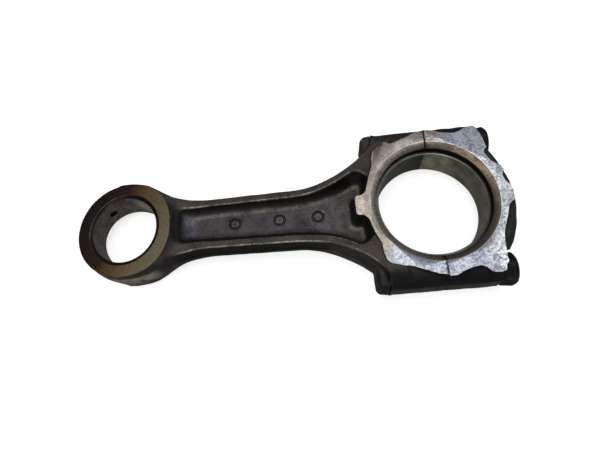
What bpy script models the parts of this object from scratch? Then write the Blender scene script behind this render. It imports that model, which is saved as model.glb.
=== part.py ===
"""Fracture-split connecting rod for a small diesel engine, laid flat on one side.

Seven pieces: forged rod body, bearing cap, two half bearing shells, small-end bush and two
M12 hex-head cap bolts. The big-end and small-end bores stand along Z, and the rod runs along X
from the small end to the big end. Shapes are written about the big-end centre at mid thickness;
the empty "rod_frame" carries them to the row frame, whose origin is under the middle of the part.
"""

import math

import bmesh
import bpy
from mathutils import Matrix, Vector

MM = 0.001

# Driving dimensions, metres
CENTRE_DISTANCE = 192.0 * MM
BIG_WIDTH = 34.0 * MM
HOUSING_RADIUS = 35.0 * MM
CRANKPIN_RADIUS = 33.0 * MM
SHELL_LENGTH = 22.4 * MM
HOUSING_CHAMFER_RADIAL = 3.55 * MM
HOUSING_CHAMFER_DEPTH = 2.2 * MM
EYE_RADIUS = 30.0 * MM
EYE_DRAFT = 0.9 * MM
EYE_HALF_AT_PIN = 12.5 * MM
EYE_TAPER = 0.11
EYE_TOP = 16.0 * MM
BUSH_OUTER_RADIUS = 23.0 * MM
PIN_RADIUS = 21.0 * MM
SHANK_HALF_DEPTH = 9.5 * MM
WEB_HALF = 3.75 * MM
DRAFT = 0.9 * MM
BOLT_Y = 43.0 * MM
BOLT_RADIUS = 6.0 * MM
BOLT_SEAT_X = 33.0 * MM
BOLT_TIP_X = -26.0 * MM
BOLT_ACROSS_FLATS = 18.0 * MM
BOLT_HEAD_HEIGHT = 9.7 * MM
HEAD_FOOT = 0.8 * MM
HEAD_CHAMFER_WIDTH, HEAD_CHAMFER_DEPTH = 1.2 * MM, 0.9 * MM
TIP_CHAMFER = 1.0 * MM
THREAD_HOLE_END_X = -29.5 * MM
CAP_HOLE_RADIUS = 6.5 * MM
BOSS_HALF_WIDTH = 51.5 * MM
BOSS_FLAT_HALF = 5.5 * MM
CAP_CREST_X = 50.5 * MM
GAP = 0.3 * MM
STOCK = 1.5 * MM

BIG_HALF = BIG_WIDTH / 2
EYE_OUTER = EYE_RADIUS + EYE_DRAFT
BIG_END_X = (CENTRE_DISTANCE + EYE_OUTER - CAP_CREST_X) / 2
CUT = 40.0 * MM
BORE_SEGMENTS = 72


def clear_scene():
    for obj in list(bpy.data.objects):
        bpy.data.objects.remove(obj, do_unlink=True)


def make_material(name, colour, roughness, metallic):
    material = bpy.data.materials.new(name)
    material.use_nodes = True
    shader = material.node_tree.nodes["Principled BSDF"]
    shader.inputs["Base Color"].default_value = (*colour, 1.0)
    shader.inputs["Roughness"].default_value = roughness
    shader.inputs["Metallic"].default_value = metallic
    return material


def object_from(bm, name, parent=None, material=None):
    bmesh.ops.recalc_face_normals(bm, faces=bm.faces)
    mesh = bpy.data.meshes.new(name)
    bm.to_mesh(mesh)
    bm.free()
    obj = bpy.data.objects.new(name, mesh)
    bpy.context.scene.collection.objects.link(obj)
    obj.parent = parent
    if material:
        mesh.materials.append(material)
    return obj


def loft(sections):
    """Closed body through rings of equal vertex counts, capped at both ends."""
    bm = bmesh.new()
    rings = [[bm.verts.new(point) for point in ring] for ring in sections]
    for low, high in zip(rings, rings[1:]):
        for i, vert in enumerate(low):
            j = (i + 1) % len(low)
            bm.faces.new((vert, low[j], high[j], high[i]))
    bm.faces.new(list(reversed(rings[0])))
    bm.faces.new(rings[-1])
    return bm


def prism(outline, low, high):
    return loft([[(x, y, z) for x, y in outline] for z in (low, high)])


def cylinder(radius, low, high, segments=BORE_SEGMENTS, centre=(0.0, 0.0), top_radius=None):
    """Round bar or cone along Z."""
    bm = bmesh.new()
    top_radius = radius if top_radius is None else top_radius
    place = Matrix.Translation((centre[0], centre[1], (low + high) / 2))
    bmesh.ops.create_cone(bm, cap_ends=True, segments=segments, radius1=radius, radius2=top_radius,
                          depth=high - low, matrix=place)
    return bm


def bar_along_x(radius, low, high, y, segments=36):
    bm = bmesh.new()
    place = Matrix.Translation(((low + high) / 2, y, 0.0)) @ Matrix.Rotation(math.pi / 2, 4, "Y")
    bmesh.ops.create_cone(bm, cap_ends=True, segments=segments, radius1=radius, radius2=radius,
                          depth=high - low, matrix=place)
    return bm


def box(x0, x1, y0, y1, z0, z1):
    return prism([(x0, y0), (x1, y0), (x1, y1), (x0, y1)], z0, z1)


def arc(centre, radius, start, end, steps):
    """Points of an arc; angles in degrees, counter-clockwise from +X."""
    angles = [math.radians(start + (end - start) * i / steps) for i in range(steps + 1)]
    return [(centre[0] + radius * math.cos(a), centre[1] + radius * math.sin(a)) for a in angles]


def mirrored(upper):
    """Outline from its +Y half, listed from one end to the other."""
    return upper + [(x, -y) for x, y in reversed(upper) if y > 1e-9]


def combine(target, tools, operation):
    for bm in tools:
        cutter = object_from(bm, "tool_" + target.name, target.parent)
        cutter.hide_render = True
        cutter.hide_set(True)
        cutter.display_type = "WIRE"
        modifier = target.modifiers.new(operation.lower(), "BOOLEAN")
        modifier.operation = operation
        modifier.solver = "EXACT"
        modifier.object = cutter


def smooth(obj, angle=35.0):
    obj.data.shade_smooth()
    obj.data.set_sharp_from_angle(angle=math.radians(angle))


# Forging shape along the shank

FILLET_EYE = 72.0 * MM
FILLET_BIG = 74.0 * MM
SHANK_LEFT = -138.0 * MM
SHANK_RIGHT = -88.0 * MM
SHANK_HALF_LEFT = 17.2 * MM
SHANK_HALF_RIGHT = 18.2 * MM
SHANK_START = -186.0 * MM
SHANK_END = -33.0 * MM
EYE_FILLET_RISE = 12.0 * MM
BIG_CLIMB_START, BIG_CLIMB_LENGTH, BIG_CLIMB = -84.0 * MM, 42.0 * MM, 6.5 * MM
EYE_CLIMB_START, EYE_CLIMB_LENGTH, EYE_CLIMB = -150.0 * MM, 16.0 * MM, 2.5 * MM
RIB_CHAMFER_WIDTH = 1.2 * MM
RIB_CHAMFER_DEPTH = 1.0 * MM


def shank_half_width(x):
    """Half width at the mid plane: a straight taper with a fillet to each end."""
    along = (x - SHANK_LEFT) / (SHANK_RIGHT - SHANK_LEFT)
    straight = SHANK_HALF_LEFT + (SHANK_HALF_RIGHT - SHANK_HALF_LEFT) * min(max(along, 0.0), 1.0)
    left = max(SHANK_LEFT - x, 0.0)
    right = max(x - SHANK_RIGHT, 0.0)
    rise_left = FILLET_EYE - math.sqrt(FILLET_EYE ** 2 - left ** 2)
    rise_right = FILLET_BIG - math.sqrt(FILLET_BIG ** 2 - right ** 2)
    return straight + min(rise_left, EYE_FILLET_RISE) + rise_right


def shank_half_depth(x):
    """Half depth of the rib tops, which climb to the big end and a little to the eye."""
    big = min(max((x - BIG_CLIMB_START) / BIG_CLIMB_LENGTH, 0.0), 1.0)
    eye = min(max((EYE_CLIMB_START - x) / EYE_CLIMB_LENGTH, 0.0), 1.0)
    smooth_big = big * big * (3 - 2 * big)
    return SHANK_HALF_DEPTH + smooth_big * BIG_CLIMB + eye * EYE_CLIMB


def shank_body():
    stations = 26
    sections = []
    for i in range(stations + 1):
        x = SHANK_START + (SHANK_END - SHANK_START) * i / stations
        half = shank_half_width(x)
        depth = shank_half_depth(x)
        edge = half - DRAFT
        inner = edge - RIB_CHAMFER_WIDTH
        under = depth - RIB_CHAMFER_DEPTH
        sections.append([
            (x, inner, depth), (x, edge, under), (x, half, 0.0), (x, edge, -under), (x, inner, -depth),
            (x, -inner, -depth), (x, -edge, -under), (x, -half, 0.0), (x, -edge, under), (x, -inner, depth),
        ])
    return loft(sections)


# The web pocket, the same on both sides

POCKET_START = -160.0 * MM
POCKET_END = -40.5 * MM
POCKET_MAX_HALF = 22.5 * MM
POCKET_EYE_CORNER = 9.0 * MM
POCKET_STRAIGHT_START = -146.0 * MM
FLOOR_INSET = 2.2 * MM
MOUTH_OUTSET = 1.2 * MM
MOUTH_HEIGHT = 18.0 * MM
LOBE_CORNER = 5.0 * MM
LOBE_INNER = 12.0 * MM
TAB_HEIGHT = 8.0 * MM
PIP_X = (-123.8 * MM, -95.2 * MM, -70.8 * MM)
PIP_RADIUS = 3.7 * MM
PIP_DEPTH = 0.6 * MM
RIB_WIDTH = 4.7 * MM
FLARE_RIB_WIDTH = 6.8 * MM
FLARE_START, FLARE_LENGTH = -80.0 * MM, 30.0 * MM

# Plan of the tongue between the lobes, (x, y) in millimetres, at the web and at the face
TAB_FOOT = [(-52.5, 4.92), (-50.9, 8.2), (-38.0, 12.0)]
TAB_HEAD = [(-47.8, 2.76), (-46.2, 4.6), (-39.0, 7.2)]


def pocket_half_width(x):
    flare = min(max((x - FLARE_START) / FLARE_LENGTH, 0.0), 1.0)
    rib = RIB_WIDTH + (FLARE_RIB_WIDTH - RIB_WIDTH) * flare
    return min(shank_half_width(x) - DRAFT - rib, POCKET_MAX_HALF)


def pocket_outline(inset):
    start = POCKET_START + inset
    near = POCKET_EYE_CORNER - inset
    end = POCKET_END - inset
    upper = [(start, 0.0)] + arc((start + near, 0.0), near, 180.0, 100.0, 6)
    steps = 14
    last = end - LOBE_CORNER
    for i in range(steps + 1):
        x = POCKET_STRAIGHT_START + (last - POCKET_STRAIGHT_START) * i / steps
        upper.append((x, pocket_half_width(x) - inset))
    top = pocket_half_width(last) - inset
    upper += arc((last, top - LOBE_CORNER), LOBE_CORNER, 65.0, 0.0, 4)
    upper.append((end, LOBE_INNER))
    upper.append((end - 1.0 * MM, 0.0))
    return mirrored(upper)


def pocket_cutter(side):
    floor = pocket_outline(FLOOR_INSET)
    mouth = pocket_outline(-MOUTH_OUTSET)
    return loft([[(x, y, side * WEB_HALF) for x, y in floor],
                 [(x, y, side * MOUTH_HEIGHT) for x, y in mouth]])


def pip_marks(side):
    """Shallow round marks left in the web by the die's knock-out pins."""
    low, high = sorted((side * (WEB_HALF - PIP_DEPTH), side * (WEB_HALF + 5.0 * MM)))
    return [cylinder(PIP_RADIUS, low, high, 24, (x, 0.0)) for x in PIP_X]


def tab(side):
    """Tongue of machined face that reaches over the pocket on the rod's axis."""
    rings = []
    for z, points in ((WEB_HALF - 1.0 * MM, TAB_FOOT), (TAB_HEIGHT, TAB_HEAD),
                      (BIG_HALF + STOCK / 2, TAB_HEAD)):
        ring = points + [(x, -y) for x, y in reversed(points)]
        rings.append([(x * MM, y * MM, side * z) for x, y in ring])
    return loft(rings)


# The big end

# Half height of the machined face at stations along the rod: (x, y), millimetres
ROD_FACE_EDGE = [(-33.0, 34.5), (-31.0, 36.3), (-26.0, 38.0), (-20.0, 39.8), (-10.0, 43.8),
                 (-5.0, 46.0), (0.0, 47.0)]
CAP_FACE_EDGE = [(0.0, 47.0), (4.5, 46.6), (10.0, 44.5), (16.0, 43.0), (19.5, 42.9),
                 (25.0, 46.0), (29.0, 47.0), (33.0, 46.3)]


# Wall of the housing between the bosses, on each side of the parting
ROD_CROWN_EDGE = [(-33.5, 33.0), (-34.4, 25.0), (-37.5, 17.5), (-40.3, 10.5), (-41.8, 7.0), (-41.8, 0.0)]
CAP_CROWN_EDGE = [(33.0, 34.0), (34.6, 32.0), (34.8, 28.5), (36.5, 24.5), (38.5, 20.5), (41.0, 16.0),
                  (43.0, 10.0), (44.6, 5.5), (46.3, 2.0), (46.3, 0.0)]
CROWN_INNER = 34.0 * MM
BOSS_INNER = 30.0 * MM
SHOULDER_DROP = 4.5 * MM
PAD_STEP = 0.4 * MM
BLOCK_START, BLOCK_NECK, BLOCK_END = -39.6 * MM, -33.4 * MM, -31.0 * MM
BLOCK_INNER = 27.0 * MM
BLOCK_CORNER = 4.0 * MM
BLOCK_HALF_DEPTH = 11.0 * MM
FACE_START = -60.0 * MM
CAP_SEAT_RADIUS = 12.0 * MM

# The crest band: its radius, and how far it draws in at each height, millimetres
CREST_RADIUS = 52.0
CREST_SPREAD = 38.0
CREST_FOOT = (30.0, 28.0)
CREST_SECTION = [(-14.0, 6.5), (-8.0, 1.5), (-3.0, 0.0), (3.0, 0.0), (8.0, 1.5), (14.0, 6.5)]


def boss_section(x, edge, side):
    """Section of a bolt boss across the rod, from the housing out to its flank flat."""
    shoulder = BIG_HALF - SHOULDER_DROP
    half = BOSS_HALF_WIDTH
    upper = [(BOSS_INNER, BIG_HALF + STOCK), (edge, BIG_HALF + STOCK), (edge, BIG_HALF - PAD_STEP),
             ((edge + half) / 2 + 1.0 * MM, shoulder),
             (half - 0.7 * MM, BOSS_FLAT_HALF + 2.5 * MM), (half, BOSS_FLAT_HALF)]
    ring = upper + [(y, -z) for y, z in reversed(upper)]
    return [(x, side * y, z) for y, z in ring]


def boss(stations, side):
    return loft([boss_section(x * MM, y * MM, side) for x, y in stations])


def end_block(side):
    """Rounded forging block at the shank end of a bolt boss."""
    outer = BOSS_HALF_WIDTH - 1.0 * MM
    corner = (BLOCK_START + BLOCK_CORNER, outer - BLOCK_CORNER)
    upper = [(BLOCK_START, BLOCK_INNER)] + arc(corner, BLOCK_CORNER, 180.0, 90.0, 5)
    upper += [(BLOCK_NECK, outer), (BLOCK_END, outer - 1.4 * MM), (BLOCK_END, BLOCK_INNER)]
    outline = [(x, side * y) for x, y in upper]
    return prism(outline, -BLOCK_HALF_DEPTH, BLOCK_HALF_DEPTH)


def crown(edge):
    """Wall of the housing from the parting to the back of one half, before facing."""
    upper = [(0.0, CROWN_INNER)] + [(x * MM, y * MM) for x, y in edge]
    return prism(mirrored(upper), -BIG_HALF - 2 * STOCK, BIG_HALF + 2 * STOCK)


def face_planes():
    """Blocks that machine both side faces of the big end to width."""
    return [box(FACE_START, CUT * 2, -CUT * 2, CUT * 2, z0, z1)
            for z0, z1 in ((BIG_HALF, CUT), (-CUT, -BIG_HALF))]


def cap_crest():
    """Smooth stiffening band around the back of the cap at mid thickness."""
    rings = []
    centre = CAP_CREST_X / MM - CREST_RADIUS
    foot_x, foot_y = CREST_FOOT
    for z, drawn_in in CREST_SECTION:
        band = arc((centre, 0.0), CREST_RADIUS - drawn_in, -CREST_SPREAD, CREST_SPREAD, 14)
        ring = [(foot_x, -foot_y)] + band + [(foot_x, foot_y)]
        rings.append([(x * MM, y * MM, z * MM) for x, y in ring])
    return loft(rings)


def housing_cutters():
    reach = BIG_HALF + 5.0 * MM
    bore = cylinder(HOUSING_RADIUS, -reach, reach)
    slope = HOUSING_CHAMFER_RADIAL / HOUSING_CHAMFER_DEPTH
    outside = 2.0 * MM
    wide = HOUSING_RADIUS + slope * (HOUSING_CHAMFER_DEPTH + outside)
    inner = BIG_HALF - HOUSING_CHAMFER_DEPTH
    upper = cylinder(HOUSING_RADIUS, inner, BIG_HALF + outside, top_radius=wide)
    lower = cylinder(wide, -BIG_HALF - outside, -inner, top_radius=HOUSING_RADIUS)
    return [bore, upper, lower]


# The small end

def eye_body():
    rings = []
    for z, radius in ((-EYE_TOP, EYE_RADIUS), (0.0, EYE_OUTER), (EYE_TOP, EYE_RADIUS)):
        rings.append([(x, y, z) for x, y in arc((-CENTRE_DISTANCE, 0.0), radius, 0.0, 355.0, 71)])
    return loft(rings)


def eye_taper(side):
    """Wedge above a sloping side face of the small end."""
    x0 = -CENTRE_DISTANCE - 45.0 * MM
    x1 = -CENTRE_DISTANCE + 32.2 * MM
    z0 = EYE_HALF_AT_PIN + EYE_TAPER * (x0 + CENTRE_DISTANCE)
    z1 = EYE_HALF_AT_PIN + EYE_TAPER * (x1 + CENTRE_DISTANCE)
    ring = [(x0, z0), (x1, z1), (x1, CUT), (x0, CUT)]
    return loft([[(x, y, side * z) for x, z in ring] for y in (-CUT, CUT)])


def build_rod_body(parent, material):
    rod = object_from(shank_body(), "rod_body", parent, material)
    combine(rod, [eye_body()], "UNION")
    combine(rod, [crown(ROD_CROWN_EDGE), boss(ROD_FACE_EDGE, 1), boss(ROD_FACE_EDGE, -1),
                  end_block(1), end_block(-1)], "UNION")
    combine(rod, [pocket_cutter(1), pocket_cutter(-1)], "DIFFERENCE")
    combine(rod, pip_marks(1) + pip_marks(-1), "DIFFERENCE")
    combine(rod, [tab(1), tab(-1)], "UNION")
    combine(rod, [eye_taper(1), eye_taper(-1)], "DIFFERENCE")
    eye_bore = cylinder(BUSH_OUTER_RADIUS, -CUT, CUT, centre=(-CENTRE_DISTANCE, 0.0))
    combine(rod, housing_cutters() + [eye_bore], "DIFFERENCE")
    threads = [bar_along_x(BOLT_RADIUS + GAP, THREAD_HOLE_END_X, 5.0 * MM, side * BOLT_Y)
               for side in (1, -1)]
    combine(rod, threads + face_planes(), "DIFFERENCE")
    split = box(-GAP / 2, CUT * 2, -CUT * 2, CUT * 2, -CUT, CUT)
    combine(rod, [split], "DIFFERENCE")
    smooth(rod)
    return rod


def build_cap(parent, material):
    cap = object_from(crown(CAP_CROWN_EDGE), "bearing_cap", parent, material)
    combine(cap, [cap_crest(), boss(CAP_FACE_EDGE, 1), boss(CAP_FACE_EDGE, -1)], "UNION")
    holes = [bar_along_x(CAP_HOLE_RADIUS, -5.0 * MM, 50.0 * MM, side * BOLT_Y) for side in (1, -1)]
    # Spot-faced seats keep the bolt heads clear of the crest
    seats = [bar_along_x(CAP_SEAT_RADIUS, BOLT_SEAT_X, 70.0 * MM, side * BOLT_Y) for side in (1, -1)]
    split = box(-CUT * 2, GAP / 2, -CUT * 2, CUT * 2, -CUT, CUT)
    combine(cap, housing_cutters() + holes + seats + face_planes() + [split], "DIFFERENCE")
    smooth(cap)
    return cap


def build_shell(name, side, parent, material):
    """Half bearing shell; side is -1 in the rod half and +1 in the cap half."""
    outer = HOUSING_RADIUS - GAP
    turn = 0.0 if side > 0 else 180.0
    trim = math.degrees(GAP / 2 / CRANKPIN_RADIUS)
    ring = arc((0.0, 0.0), outer, turn - 90.0 + trim, turn + 90.0 - trim, 36)
    ring += arc((0.0, 0.0), CRANKPIN_RADIUS, turn + 90.0 - trim, turn - 90.0 + trim, 36)
    shell = object_from(prism(ring, -SHELL_LENGTH / 2, SHELL_LENGTH / 2), name, parent, material)
    smooth(shell)
    return shell


def build_bush(parent, material):
    blank = object_from(cylinder(BUSH_OUTER_RADIUS - GAP, -CUT / 2, CUT / 2), "small_end_bush",
                        parent, material)
    blank.location.x = -CENTRE_DISTANCE
    bore = cylinder(PIN_RADIUS, -CUT, CUT)
    tapers = []
    for side in (1, -1):
        wedge = eye_taper(side)
        bmesh.ops.translate(wedge, verts=wedge.verts, vec=(CENTRE_DISTANCE, 0.0, 0.0))
        tapers.append(wedge)
    combine(blank, [bore] + tapers, "DIFFERENCE")
    for modifier in blank.modifiers:
        modifier.object.location.x = -CENTRE_DISTANCE
    smooth(blank)
    return blank


def build_bolt(name, side, parent, material):
    """Hex-head cap bolt whose origin is on its own axis at the head seat."""
    rings = []
    seat = GAP
    head_end = seat + BOLT_HEAD_HEIGHT
    flat = BOLT_ACROSS_FLATS / 2
    tip = BOLT_TIP_X - BOLT_SEAT_X
    steps = 24

    def ring(x, radius_at):
        points = []
        for i in range(steps):
            a = 2 * math.pi * i / steps
            r = radius_at(a)
            points.append((x, r * math.cos(a), r * math.sin(a)))
        return points

    def hexagon(a):
        return flat / math.cos((a + math.pi / 6) % (math.pi / 3) - math.pi / 6)

    rings.append(ring(tip, lambda a: BOLT_RADIUS - TIP_CHAMFER))
    rings.append(ring(tip + TIP_CHAMFER, lambda a: BOLT_RADIUS))
    rings.append(ring(seat, lambda a: BOLT_RADIUS))
    rings.append(ring(seat, lambda a: flat))
    rings.append(ring(seat + HEAD_FOOT, hexagon))
    rings.append(ring(head_end - HEAD_CHAMFER_DEPTH, hexagon))
    rings.append(ring(head_end, lambda a: hexagon(a) - HEAD_CHAMFER_WIDTH))
    bolt = object_from(loft(rings), name, parent, material)
    bolt.location = Vector((BOLT_SEAT_X, side * BOLT_Y, 0.0))
    smooth(bolt, 25.0)
    return bolt


def build():
    clear_scene()
    frame = bpy.data.objects.new("rod_frame", None)
    frame.location = (BIG_END_X, 0.0, BIG_HALF)
    bpy.context.scene.collection.objects.link(frame)

    forged = make_material("forged_steel", (0.085, 0.068, 0.055), 0.55, 0.75)
    cap_steel = make_material("cap_steel", (0.30, 0.30, 0.31), 0.42, 0.9)
    bush_bronze = make_material("bush_bronze", (0.30, 0.25, 0.20), 0.35, 0.9)
    rod_shell = make_material("rod_shell_overlay", (0.20, 0.20, 0.16), 0.38, 0.8)
    cap_shell = make_material("cap_shell_overlay", (0.30, 0.29, 0.22), 0.38, 0.8)
    left_bolt = make_material("left_bolt_black", (0.035, 0.033, 0.032), 0.42, 0.7)
    right_bolt = make_material("right_bolt_black", (0.035, 0.033, 0.032), 0.42, 0.7)

    build_rod_body(frame, forged)
    build_cap(frame, cap_steel)
    build_bush(frame, bush_bronze)
    build_shell("upper_bearing_shell", -1, frame, rod_shell)
    build_shell("lower_bearing_shell", 1, frame, cap_shell)
    build_bolt("cap_bolt_left", 1, frame, left_bolt)
    build_bolt("cap_bolt_right", -1, frame, right_bolt)
    bpy.context.view_layer.update()


build()
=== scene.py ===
import math

import bmesh
import bpy
import numpy as np
import openvdb
from mathutils import Matrix, Vector, noise


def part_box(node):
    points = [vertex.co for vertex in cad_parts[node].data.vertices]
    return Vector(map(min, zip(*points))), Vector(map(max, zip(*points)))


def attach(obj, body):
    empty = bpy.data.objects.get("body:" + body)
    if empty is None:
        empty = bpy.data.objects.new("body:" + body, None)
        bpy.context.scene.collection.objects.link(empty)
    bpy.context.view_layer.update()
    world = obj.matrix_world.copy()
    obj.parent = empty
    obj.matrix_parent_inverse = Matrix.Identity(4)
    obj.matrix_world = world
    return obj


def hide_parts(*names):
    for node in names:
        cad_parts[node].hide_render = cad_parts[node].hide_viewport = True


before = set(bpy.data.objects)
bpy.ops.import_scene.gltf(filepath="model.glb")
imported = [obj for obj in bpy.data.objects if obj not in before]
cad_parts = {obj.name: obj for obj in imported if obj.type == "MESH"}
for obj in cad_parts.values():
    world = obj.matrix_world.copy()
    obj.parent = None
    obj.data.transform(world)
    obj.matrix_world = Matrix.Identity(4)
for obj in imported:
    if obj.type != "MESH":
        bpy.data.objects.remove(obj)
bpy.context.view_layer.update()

# ----------------------------------------------------------------------
# Rod body. One closed-die steel forging, shot-blasted dark brown, with a web sunk between two
# ribs. Its side faces, both bores, the wedge of the small end and the bolt threads are machined,
# and the big end is then cracked in two across its bore.
# ----------------------------------------------------------------------
# Shapes are in millimetres about the middle of the big end, and place carries them to the
# frame's metres. The rod lies flat: both bores run along Z, and the small end is towards -X.
MM = 0.001
SHELL_TO_CENTRE = 0.15
shell_low, shell_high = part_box("upper_bearing_shell")
bush_low, bush_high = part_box("small_end_bush")
big_centre = Vector((shell_high[0] + SHELL_TO_CENTRE * MM, 0.0, (shell_low[2] + shell_high[2]) / 2))
pin_x = ((bush_low[0] + bush_high[0]) / 2 - big_centre.x) / MM
place = Matrix.Translation(big_centre) @ Matrix.Scale(MM, 4)
face_z = big_centre.z / MM

STOCK = 1.6
HOUSING_R = 35.0
BOLT_Y = 43.0
PAST_CRACK = 4.0
CROWN_R, CROWN_DRAFT, CROWN_FILLET = 41.4, 0.06, 2.4
EYE_R, EYE_DRAFT, EYE_TOP, EYE_FILLET = 31.0, 0.08, 18.5, 7.0


def fillet(a, b, radius):
    """Union of two distance fields with a concave fillet of that radius."""
    ramp = np.hypot(np.maximum(radius - a, 0.0), np.maximum(radius - b, 0.0))
    return np.maximum(radius, np.minimum(a, b)) - ramp


def round_edge(a, b, radius):
    """Overlap of two distance fields with a convex edge of that radius."""
    ramp = np.hypot(np.maximum(radius + a, 0.0), np.maximum(radius + b, 0.0))
    return np.minimum(-radius, np.maximum(a, b)) + ramp


def smooth_step(value, low, high):
    t = np.clip((value - low) / (high - low), 0.0, 1.0)
    return t * t * (3.0 - 2.0 * t)


def outline_distance(points, x, y):
    """Signed distance to a closed outline in the XY plane, negative inside."""
    nearest = np.full(np.broadcast(x, y).shape, 1e9)
    inside = np.zeros(nearest.shape, bool)
    for (x0, y0), (x1, y1) in zip(points, points[1:] + points[:1]):
        ex, ey = x1 - x0, y1 - y0
        along = np.clip(((x - x0) * ex + (y - y0) * ey) / (ex * ex + ey * ey), 0.0, 1.0)
        nearest = np.minimum(nearest, np.hypot(x - x0 - along * ex, y - y0 - along * ey))
        if y0 != y1:
            inside ^= ((y0 > y) != (y1 > y)) & (x < ex * (y - y0) / ey + x0)
    return np.where(inside, -nearest, nearest)


SHANK_LEFT, SHANK_RIGHT = -138.0, -88.0
SHANK_HALF_LEFT, SHANK_HALF_RIGHT = 17.2, 18.2
FLARE_EYE_R, FLARE_EYE_RUN = 81.5, 39.1
FLARE_BIG_R, FLARE_BIG_RUN = 74.0, 56.0
SHANK_END = -24.0


def shank_half_width(x):
    """Half width at mid thickness: a slight straight taper that flares into both ends."""
    along = np.clip((x - SHANK_LEFT) / (SHANK_RIGHT - SHANK_LEFT), 0.0, 1.0)
    straight = SHANK_HALF_LEFT + (SHANK_HALF_RIGHT - SHANK_HALF_LEFT) * along
    left = np.clip(SHANK_LEFT - x, 0.0, FLARE_EYE_RUN)
    right = np.clip(x - SHANK_RIGHT, 0.0, FLARE_BIG_RUN)
    rise_left = FLARE_EYE_R - np.sqrt(FLARE_EYE_R ** 2 - left ** 2)
    rise_right = FLARE_BIG_R - np.sqrt(FLARE_BIG_R ** 2 - right ** 2)
    return straight + rise_left + rise_right


RIB_TOP, RIB_EDGE, RIM_EDGE = 9.5, 1.3, 1.1
BIG_CLIMB, BIG_CLIMB_RUN = 6.3, (-84.0, -42.0)
EYE_CLIMB, EYE_CLIMB_RUN = 3.0, (-152.0, -168.0)
SIDE_DRAFT, SIDE_SCALE = 0.095, 0.93
FLASH, FLASH_SPREAD = 0.8, 1.0


def rib_height(x):
    """Height of the rib tops above mid thickness, which climb towards both ends."""
    return (RIB_TOP + BIG_CLIMB * smooth_step(x, *BIG_CLIMB_RUN)
            + EYE_CLIMB * smooth_step(x, *EYE_CLIMB_RUN))


def shank_field(x, y, z):
    """Drafted bar with a trace of the trimmed flash along its middle."""
    side = (np.abs(y) - shank_half_width(x) + SIDE_DRAFT * z) * SIDE_SCALE
    flash = FLASH * np.exp(-(z / FLASH_SPREAD) ** 2)
    bar = round_edge(side - flash, z - rib_height(x), RIB_EDGE)
    return np.maximum(bar, np.maximum(x - SHANK_END, pin_x - x))


WEB, WEB_RAMP, WEB_RAMP_START = 3.4, 0.32, -148.5
POCKET_START, POCKET_END = -160.5, -40.0
POCKET_MAX_HALF, POCKET_CORNER, POCKET_DRAFT, POCKET_ROOT = 22.6, 6.0, 0.16, 5.6
POCKET_PINCH, POCKET_PINCH_RUN = 1.6, (-136.0, -158.0)
RIB_WIDTH, RIB_WIDENING, RIB_WIDENING_RUN = 4.8, 1.6, (-80.0, -52.0)


def pocket_field(x, y, z):
    """The hollow over the web: steep walls, a wide root fillet and two lobes at the big end."""
    rib = RIB_WIDTH + RIB_WIDENING * smooth_step(x, *RIB_WIDENING_RUN)
    half = np.minimum(shank_half_width(x) - SIDE_DRAFT * RIB_TOP - rib, POCKET_MAX_HALF)
    half = half - POCKET_PINCH * smooth_step(x, *POCKET_PINCH_RUN)
    ends = np.maximum(POCKET_START - x, x - POCKET_END)
    plan = round_edge(np.abs(y) - half, ends, POCKET_CORNER)
    wall = plan + POCKET_DRAFT * (RIB_TOP - z)
    floor = WEB + WEB_RAMP * np.maximum(WEB_RAMP_START - x, 0.0)
    return round_edge(wall, floor - z, POCKET_ROOT)


TAB_END, TAB_ROOT, TAB_HALF = -47.6, -34.0, 6.1
TAB_LEAN, TAB_EDGE, TAB_FILLET = 0.10, 1.8, 4.2


def tab_field(x, y, z):
    """Tongue of the big-end face that stands in the end of the pocket between its two lobes."""
    lean = TAB_LEAN * np.maximum(face_z - z, 0.0)
    tongue = round_edge(np.abs(y) - TAB_HALF - lean, TAB_END - x - lean, TAB_EDGE)
    tongue = np.maximum(tongue, z - face_z - STOCK)
    return np.maximum(tongue, x - TAB_ROOT)


BOSS_FLANK, BOSS_INNER, BOSS_START = 51.5, 30.0, -33.0
BOSS_ROUND, BOSS_END_EDGE, BOSS_FILLET = 10.0, 1.2, 5.0
BOSS_TOP, BOSS_CLIMB, BOSS_CLIMB_RUN = 14.9, 0.5, (-33.0, -3.0)


def boss_field(x, y, z, top, start, end):
    """Bolt boss along the rod, flat on its flank and rounded over its top."""
    section = round_edge(y - BOSS_FLANK, z - top, BOSS_ROUND)
    section = np.maximum(section, BOSS_INNER - y)
    return round_edge(section, np.maximum(start - x, x - end), BOSS_END_EDGE)


BLOCK_START, BLOCK_END = -39.6, -31.0
BLOCK_FLANK, BLOCK_INNER, BLOCK_TOP = 50.6, 26.0, 11.2
BLOCK_CORNER, BLOCK_SEAM, BLOCK_EDGE, BLOCK_FILLET = 4.2, 1.0, 3.0, 2.2


def block_field(x, y, z):
    """Rounded block that closes the shank end of a bolt boss."""
    plan = round_edge(y - BLOCK_FLANK, BLOCK_START - x, BLOCK_CORNER)
    plan = round_edge(plan, x - BLOCK_END, BLOCK_SEAM)
    return np.maximum(round_edge(plan, z - BLOCK_TOP, BLOCK_EDGE), BLOCK_INNER - y)


PAD_LEAN, PAD_DEPTH, PAD_FOOT, PAD_FILLET = 0.42, 6.0, 8.0, 1.2

# Edge of the machined side face on the rod half, from the crown to the parting line
ROD_FACE = [(-37.4, 17.5), (-34.8, 25.0), (-34.2, 31.0), (-33.0, 34.6), (-30.6, 36.6),
            (-26.0, 38.0), (-20.0, 39.8), (-10.0, 43.6), (-5.0, 45.8), (4.0, 47.2)]
ROD_FACE_INSIDE = [(4.0, 20.0), (-20.0, 10.0)]


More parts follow.
